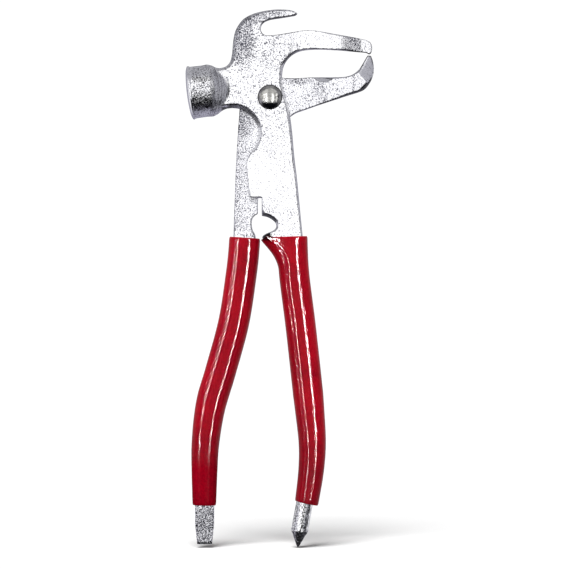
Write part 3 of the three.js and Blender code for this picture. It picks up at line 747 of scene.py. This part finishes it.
def sleeve(name, handle, ridges, material, around=144):
    """A vinyl tube lofted along a handle and cut at both ends, with low ridges running down its front."""
    centre, cross, left, right = stations(handle, 0.6)
    turn = np.linspace(0, 2 * math.pi, around, endpoint=False)
    c = np.sign(np.cos(turn)) * np.abs(np.cos(turn)) ** (2 / SECTION_POWER)
    s = np.sign(np.sin(turn)) * np.abs(np.sin(turn)) ** (2 / SECTION_POWER)
    half = np.where(c < 0, left[:, None], right[:, None])
    ripple = sum(height * np.cos(turn * number + phase) for number, height, phase in RIPPLES)
    lift = ripple + np.zeros_like(half)
    for width, run in ridges:
        z, height, share = np.array(run).T
        height = np.interp(-centre[:, 1], -z, height)[:, None]
        place = np.interp(-centre[:, 1], -z, share) * right
        place = np.where(place < 0, place - 0.95 * (left - right), place)
        lift += height * np.exp(-(((c * half - place[:, None]) / width) ** 2)) * (s < 0.1)

    def shell(inset, bumps):
        wide = half - inset[:, None]
        deep = SLEEVE_DEPTH - inset[:, None]
        u = c * (wide + bumps * lift)
        y = s * (deep + bumps * lift)
        x = centre[:, :1] + u * cross[:, :1]
        z = centre[:, 1:] + u * cross[:, 1:]
        return np.stack([x, y, z], -1)

    outer = shell(np.zeros(len(centre)), 1)
    inner = shell(wall_at(centre[:, 1]) - BORE_CLEAR, 0)
    obj = cut_tube(name, handle, outer, inner, material)
    place = read_vectors(obj.data.vertices, "co") / MM
    add_attribute(obj, "dull", handle["dull"] * ramp(-place[:, 2], 157, 173, 0, 1))
    # painted shade, darker towards the bottom of the sleeve
    add_attribute(obj, "bottom_shade", ramp(-place[:, 2], 140, 180, 0, 1))
    # painted shade at the lip of the notch
    add_attribute(obj, "lip_shade", near(place, (-1.6, -64.3), (4.6, 3.0)))
    return obj


def cut_tube(name, handle, outer, inner, material):
    """Keeps the stretch between the two cut lines, moving each lengthwise line's ends onto them."""
    def height(skin, cut):
        x, z = np.array(cut, float).T
        return skin[..., 2] - np.interp(skin[..., 0], x, z)

    shells = []
    for skin in (outer, inner):
        above, below = height(skin, handle["top"]), height(skin, handle["bottom"])
        order = np.arange(len(skin))
        lines = []
        for k in range(skin.shape[1]):
            start = np.interp(0, -above[:, k], order)
            end = np.interp(0, -below[:, k], order)
            at = np.linspace(start, end, SLEEVE_RINGS)
            lines.append(np.column_stack([np.interp(at, order, skin[:, k, m]) for m in range(3)]))
        shells.append(np.stack(lines, 1))
    outer, inner = shells
    return ring_mesh(name, np.concatenate([soften_ends(outer, inner), inner[::-1]]), True, material)


def soften_ends(outer, inner):
    """Draws the first and last rings in a little, so that the cut ends have a small round."""
    outer = outer.copy()
    for end, step in ((0, 1), (-1, -1)):
        for k, share in enumerate((0.16, 0.05)):
            ring = end + step * k
            outer[ring] += (inner[end] - outer[ring]) * share
    return outer


# ---- Materials ----
class Nodes:
    """A short way to build a node tree. A value given to it can also be another node's output."""

    def __init__(self, tree):
        self.tree = tree
        tree.nodes.clear()

    def add(self, kind, **settings):
        node = self.tree.nodes.new(kind)
        for key, value in settings.items():
            if key in node.bl_rna.properties:
                setattr(node, key, value)
            else:
                self.put(node.inputs[key.replace("_", " ")], value)
        return node

    def put(self, socket, value):
        if isinstance(value, bpy.types.NodeSocket):
            self.tree.links.new(value, socket)
        else:
            socket.default_value = value

    def math(self, operation, a, b=0.0):
        node = self.add("ShaderNodeMath", operation=operation)
        self.put(node.inputs[0], a)
        self.put(node.inputs[1], b)
        return node.outputs[0]

    def attribute(self, name):
        return self.add("ShaderNodeAttribute", attribute_name=name).outputs["Fac"]

    def noise(self, vector, scale, detail=2.0, roughness=0.5):
        node = self.add("ShaderNodeTexNoise", Vector=vector, Scale=scale, Detail=detail, Roughness=roughness)
        return node.outputs["Fac"]

    def bump(self, height, depth, **settings):
        return self.add("ShaderNodeBump", Height=height, Distance=depth, **settings).outputs["Normal"]

    def mix(self, factor, a, b, blend_type="MIX"):
        node = self.add("ShaderNodeMix", data_type="RGBA", blend_type=blend_type, Factor=factor, A=a, B=b)
        return node.outputs["Result"]

    def multiply(self, a, b):
        return self.mix(1.0, a, b, "MULTIPLY")

    def ramp(self, value, *stops):
        node = self.add("ShaderNodeValToRGB")
        ramp = node.color_ramp
        while len(ramp.elements) < len(stops):
            ramp.elements.new(0.5)
        for element, (position, colour) in zip(ramp.elements, stops):
            element.position = position
            element.color = (*colour, 1)
        self.put(node.inputs["Fac"], value)
        return node.outputs["Color"]


def grey(v):
    return (v, v, v)


GRAIN_DEPTH = 0.3 * MM  # of the tumbled surface
SWELL_DEPTH = 0.6 * MM  # of the forgings' broad unevenness
SCUFF_DEPTH = 0.05 * MM
PEEL_DEPTH = 0.15 * MM


def new_material(name):
    material = bpy.data.materials.new(name)
    material.use_nodes = True
    n = Nodes(material.node_tree)
    return material, n, n.add("ShaderNodeTexCoord").outputs["Object"]


def principled(n, **settings):
    surface = n.add("ShaderNodeBsdfPrincipled", **settings)
    n.add("ShaderNodeOutputMaterial", Surface=surface.outputs["BSDF"])


def pitted_plate(n, grain, mottle, broad, tint):
    """Colour of the plating, with painted shade as dark specks in the deepest pits."""
    plate = n.ramp(broad, (0.3, tuple(0.94 * c for c in tint)), (0.7, tint))
    pitted = n.math("ADD", mottle, n.math("MULTIPLY", grain, 0.08))
    # painted shade: dark specks in the deepest pits
    pit_shade = n.ramp(pitted, (0.54, grey(1.0)), (0.6, (0.72, 0.72, 0.75)), (0.635, (0.06, 0.06, 0.08)))
    return n.multiply(plate, pit_shade)


def painted_dark_patches(n, scale, mottle):
    """How far the painted shade and the painted reflections darken the plating, in patches as fine as the
    pits.
    """
    patchy = n.math("ADD", scale, n.math("MULTIPLY", n.math("SUBTRACT", mottle, 0.5), 3.6))
    patchy = n.math("MULTIPLY", patchy, n.math("GREATER_THAN", scale, 0.02))
    return n.ramp(patchy, (0.2, grey(1.0)), (0.45, grey(0.4)), (0.7, grey(0.025)))


def turned_rings(n):
    """Turning marks where the turned attribute isn't 0."""
    turned = n.attribute("turned")
    rings = n.add("ShaderNodeTexNoise", noise_dimensions="1D", W=turned, Scale=1.0, Detail=2.0)
    stops = ((0.38, 0.45), (0.46, 1.0), (0.54, 0.7), (0.6, 1.0))
    marks = n.ramp(rings.outputs["Fac"], *((position, grey(shade)) for position, shade in stops))
    return n.mix(n.math("GREATER_THAN", turned, 0.001), (1, 1, 1, 1), marks)


def forged_steel(name, tint):
    """Bright plating over a tumbled forging. The grain attribute says how deep its pits are, and the scale
    attribute how much painted shade and painted dark reflection darken it."""
    material, n, place = new_material(name)
    grain, scale = n.attribute("grain"), n.attribute("scale")
    fine = n.noise(place, 3200, 1.0, 0.5)
    pits = n.noise(place, 1800, 2.0, 0.55)
    broad = n.noise(place, 90, 2.0, 0.5)
    mottle = n.math("ADD", n.math("MULTIPLY", fine, 0.35), n.math("MULTIPLY", pits, 0.65))
    pitted = n.bump(n.math("MULTIPLY", mottle, grain), GRAIN_DEPTH)
    plate = pitted_plate(n, grain, mottle, broad, tint)
    # painted shade and painted reflections darken the plating here
    darkened_plate = n.multiply(plate, painted_dark_patches(n, scale, mottle))
    rough = n.math("ADD", n.math("MULTIPLY", broad, 0.06), n.math("MULTIPLY", scale, 0.2))
    principled(
        n,
        Base_Color=n.multiply(darkened_plate, turned_rings(n)),
        Metallic=1.0,
        Roughness=n.math("ADD", rough, 0.09),
        Normal=n.bump(broad, SWELL_DEPTH, Strength=0.2, Normal=pitted),
    )
    return material


def rivet_steel(name, colour):
    """Satin turned steel with faint scuffs, and painted shade in a ring round the rim of the head."""
    material, n, place = new_material(name)
    scuff = n.noise(place, 1500, 3.0, 0.6)
    cloud = n.noise(place, 700, 2.0, 0.6)
    flat = n.add("ShaderNodeVectorMath", operation="MULTIPLY")
    n.put(flat.inputs[0], place)
    n.put(flat.inputs[1], (1, 0, 1))
    radius = n.add("ShaderNodeVectorMath", operation="LENGTH", Vector=flat.outputs["Vector"])
    centimetres = n.math("MULTIPLY", radius.outputs["Value"], 100)
    # painted shade in a ring where the rim of the head meets the arm
    rim = n.ramp(centimetres, (0.51, grey(1.0)), (0.55, grey(0.1)), (0.6, grey(0.5)))
    plate = n.ramp(cloud, (0.4, tuple(0.6 * c for c in colour)), (0.55, colour))
    principled(
        n,
        Base_Color=n.multiply(plate, rim),
        Metallic=1.0,
        Roughness=n.math("ADD", n.math("MULTIPLY", cloud, 0.1), 0.07),
        Normal=n.bump(scuff, SCUFF_DEPTH),
    )
    return material


def red_vinyl(name):
    """Glossy soft vinyl with an orange peel and clouding. The dull attribute takes its sheen; painted shade
    darkens it towards the bottom and at the lip of the notch."""
    material, n, place = new_material(name)
    dull = n.attribute("dull")
    peel = n.noise(place, 950, 2.0, 0.5)
    cloud = n.noise(place, 60, 2.0, 0.5)
    tone = n.math("ADD", n.math("MULTIPLY", cloud, 0.5), n.math("MULTIPLY", peel, 0.5))
    red = n.ramp(tone, (0.35, (0.19, 0.0002, 0.006)), (0.65, (0.33, 0.0012, 0.009)))
    # painted shade where the sleeve meets the lip of the notch
    lip_shade = n.ramp(n.attribute("lip_shade"), (0.0, grey(1.0)), (1.0, grey(0.08)))
    # painted shade, darker towards the bottom of the sleeve
    bottom_shade = n.ramp(n.attribute("bottom_shade"), (0.0, grey(1.0)), (1.0, (0.72, 0.3, 0.8)))
    principled(
        n,
        Base_Color=n.multiply(n.multiply(red, lip_shade), bottom_shade),
        Roughness=n.math("ADD", n.math("MULTIPLY", dull, 0.25), 0.1),
        Specular_IOR_Level=n.math("MULTIPLY", n.math("SUBTRACT", 1.0, dull), 0.06),
        Normal=n.bump(peel, PEEL_DEPTH),
    )
    return material


# ---- The pieces ----
front_steel = forged_steel("front_forging", (0.93, 0.93, 0.95))
rear_steel = forged_steel("rear_forging", (0.88, 0.88, 0.91))
dome_steel = rivet_steel("rivet_dome", (0.42, 0.415, 0.40))
plain_steel = rivet_steel("washer_plate", (0.74, 0.74, 0.75))
vinyl = red_vinyl("red_vinyl")

hammer_grid = Grid((-40.5, -13.2, -211), (49.5, 13.2, 42.5))
hammer_field = hammer_arm_field(hammer_grid)
hammer_arm = forged_piece("hammer_arm_forging", hammer_grid, hammer_field, front_steel, hammer_arm_grain)
jaw_grid = Grid((-37.5, -5.2, -209.5), (50.5, 7.4, 21))
jaw_field = jaw_arm_field(jaw_grid)
jaw_arm = forged_piece("jaw_arm_forging", jaw_grid, jaw_field, rear_steel, jaw_arm_grain)
rivet = lathe("rivet_turned", rivet_profile(), dome_steel)
washer = lathe("washer_turned", washer_profile(), plain_steel)
hammer_sleeve = sleeve("hammer_arm_sleeve", HAMMER_HANDLE, HAMMER_RIDGES, vinyl)
jaw_sleeve = sleeve("jaw_arm_sleeve", JAW_HANDLE, JAW_RIDGES, vinyl)
for part in (hammer_sleeve, jaw_sleeve):
    part.visible_glossy = False

for piece, node, body, slot in (
    (hammer_arm, "hammer_arm", "hammer_side", "forged_steel"),
    (jaw_arm, "jaw_arm", "jaw_side", "forged_steel_rear"),
    (rivet, "pivot_rivet", "hammer_side", "rivet_steel"),
    (washer, "rivet_washer", "hammer_side", "washer_steel"),
    (hammer_sleeve, "hammer_arm_grip", "hammer_side", "red_vinyl"),
    (jaw_sleeve, "jaw_arm_grip", "jaw_side", "red_vinyl"),
):
    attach(piece, body)
    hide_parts(node)


# ---- Floor, light and camera ----
VIEW_DISTANCE = 1.4  # metres, from the camera to the tool
VIEW_WIDTH = 0.2642  # of the picture, at the tool
FLOOR_REACH = 6.0
low, high = (np.array(corner) for corner in cad_box)
target = (low + high) / 2 + np.array([0.0018, 0, -0.0024])  # what the camera and the softboxes aim at
target[1] = LAP_Y * MM


def floor():
    mesh = bpy.data.meshes.new("floor")
    corners = [(x * FLOOR_REACH, y * FLOOR_REACH, low[2]) for x, y in ((-1, -1), (1, -1), (1, 1), (-1, 1))]
    mesh.from_pydata(corners, [], [(0, 1, 2, 3)])
    obj = bpy.data.objects.new("floor", mesh)
    bpy.context.scene.collection.objects.link(obj)
    material, n, place = new_material("floor_white")
    white = n.ramp(n.noise(place, 3.0), (0.2, grey(0.72)), (0.8, grey(0.74)))
    principled(n, Base_Color=white, Roughness=0.9, Specular_IOR_Level=0.0)
    obj.data.materials.append(material)
    obj.visible_glossy = False


def light(name, data, place, toward, **seen_by):
    obj = bpy.data.objects.new(name, data)
    obj.location = place
    obj.rotation_euler = Vector(toward).to_track_quat("-Z", "Y").to_euler()
    for ray, seen in seen_by.items():
        setattr(obj, "visible_" + ray, seen)
    bpy.context.scene.collection.objects.link(obj)
    return obj


def key_light():
    """A soft sun from the front, the left and above. Reflections don't see it."""
    data = bpy.data.lights.new("key", "SUN")
    data.energy = 4.5
    data.angle = math.radians(27)
    light("key", data, (0, 0, 0), (0.18, 0.77, -1.36), glossy=False)


def panel(name, azimuth, height, distance, size, radiance, receivers, **seen_by):
    """A vertical softbox that lights only the given pieces, its azimuth in degrees right of the camera."""
    a = math.radians(azimuth)
    away = np.array([math.sin(a), -math.cos(a), 0]) * distance
    data = bpy.data.lights.new(name, "AREA")
    data.shape = "RECTANGLE"
    data.size, data.size_y = size
    data.energy = radiance * math.pi * size[0] * size[1]
    obj = light(name, data, target + away + [0, 0, height], -away, **seen_by)
    group = bpy.data.collections.new(name + "_receivers")
    for piece in receivers:
        group.objects.link(piece)
    obj.light_linking.receiver_collection = group


REFLECTED_PANELS = [  # direction, full within and gone beyond (degrees), colour
    ((0, 0.3, 1), 40, 70, (0.46, 0.46, 0.49)),
    ((0, 0.75, -0.65), 30, 60, (0.42, 0.41, 0.50)),
    ((-1, -0.2, -0.1), 25, 50, (0.62, 0.61, 0.70)),
    ((1, -0.2, 0.1), 24, 50, (0.44, 0.44, 0.48)),
    ((0.85, 0.5, -0.15), 16, 30, (0.95, 0.95, 0.97)),
    ((-0.85, 0.5, -0.15), 16, 30, (0.95, 0.95, 0.97)),
    ((-0.7, -0.75, 0.2), 22, 34, (1.0, 1.0, 1.0)),
    ((0, -1, 0.25), 38, 52, (1.34, 1.34, 1.34)),
    ((-0.5, -0.5, -0.95), 20, 34, (0.02, 0.02, 0.025)),
    ((0.5, -0.5, -0.95), 20, 34, (0.02, 0.02, 0.025)),
    ((0, -0.5, -0.87), 24, 38, (0.006, 0.006, 0.01)),
    ((0.68, -0.73, -0.05), 9, 18, (0.03, 0.03, 0.035)),
]


def reflected_studio(n):
    """A studio as reflections see it: white behind the viewer, grey at the sides, black under the front."""
    seen_from = n.add("ShaderNodeTexCoord").outputs["Generated"]
    sky = (0.38, 0.38, 0.42, 1)
    for aim, full, gone, colour in REFLECTED_PANELS:
        dot = n.add("ShaderNodeVectorMath", operation="DOT_PRODUCT")
        n.put(dot.inputs[0], seen_from)
        n.put(dot.inputs[1], np.array(aim) / np.linalg.norm(aim))
        share = n.add("ShaderNodeMapRange", interpolation_type="SMOOTHSTEP", Value=dot.outputs["Value"])
        n.put(share.inputs["From Min"], math.cos(math.radians(gone)))
        n.put(share.inputs["From Max"], math.cos(math.radians(full)))
        sky = n.mix(share.outputs["Result"], sky, (*colour, 1))
    return sky


def studio():
    """The reflected studio for glossy rays, a plain fill for diffuse rays and white behind the tool."""
    world = bpy.data.worlds.new("studio")
    bpy.context.scene.world = world
    world.use_nodes = True
    n = Nodes(world.node_tree)
    path = n.add("ShaderNodeLightPath")
    shader = n.add("ShaderNodeBackground", Color=reflected_studio(n)).outputs[0]
    for ray, strength in (("Is Diffuse Ray", 0.2), ("Is Camera Ray", 1.05)):
        white = n.add("ShaderNodeBackground", Color=(1, 1, 1, 1), Strength=strength)
        switch = n.add("ShaderNodeMixShader", Fac=path.outputs[ray])
        n.put(switch.inputs[1], shader)
        n.put(switch.inputs[2], white.outputs[0])
        shader = switch.outputs[0]
    n.add("ShaderNodeOutputWorld", Surface=shader)


def camera():
    data = bpy.data.cameras.new("camera")
    data.sensor_width = 36
    data.lens = data.sensor_width * VIEW_DISTANCE / VIEW_WIDTH
    data.clip_start = 0.01
    obj = bpy.data.objects.new("camera", data)
    obj.location = (target[0], target[1] - VIEW_DISTANCE, target[2])
    obj.rotation_euler = (math.pi / 2, 0, 0)
    bpy.context.scene.collection.objects.link(obj)
    bpy.context.scene.camera = obj


STREAKS = (  # sleeve, azimuth, width and height of the panel
    (jaw_sleeve, -45, 0.052, 0.6),
    (jaw_sleeve, 29, 0.12, 0.6),
    (hammer_sleeve, -30, 0.11, 0.7),
    (hammer_sleeve, 27, 0.12, 0.7),
)
WINDOWS = ((-40, 0.07, 3), (-22, 0.12, 5), (16, 0.1, 5), (41, 0.09, 3.5))  # azimuth, width, radiance

floor()
studio()
camera()
key_light()
for number, (piece, azimuth, wide, tall) in enumerate(STREAKS):
    panel("streak_%d" % number, azimuth, -0.03, 0.8, (wide, tall), 520, [piece], diffuse=False)
panel("flare_streak", 17, 0.3, 0.8, (0.02, 0.05), 420, [hammer_sleeve], diffuse=False)
panel("fill_left", -84, 0.05, 0.8, (0.4, 0.5), 3.0, [jaw_sleeve], glossy=False)
panel("fill_right", 76, 0.05, 0.8, (0.4, 0.5), 3.0, [hammer_sleeve], glossy=False)
for number, (azimuth, wide, radiance) in enumerate(WINDOWS):
    panel("window_%d" % number, azimuth, 0.04, 0.8, (wide, 0.7), radiance, [rivet], diffuse=False)
bpy.context.scene.view_settings.view_transform = "Standard"
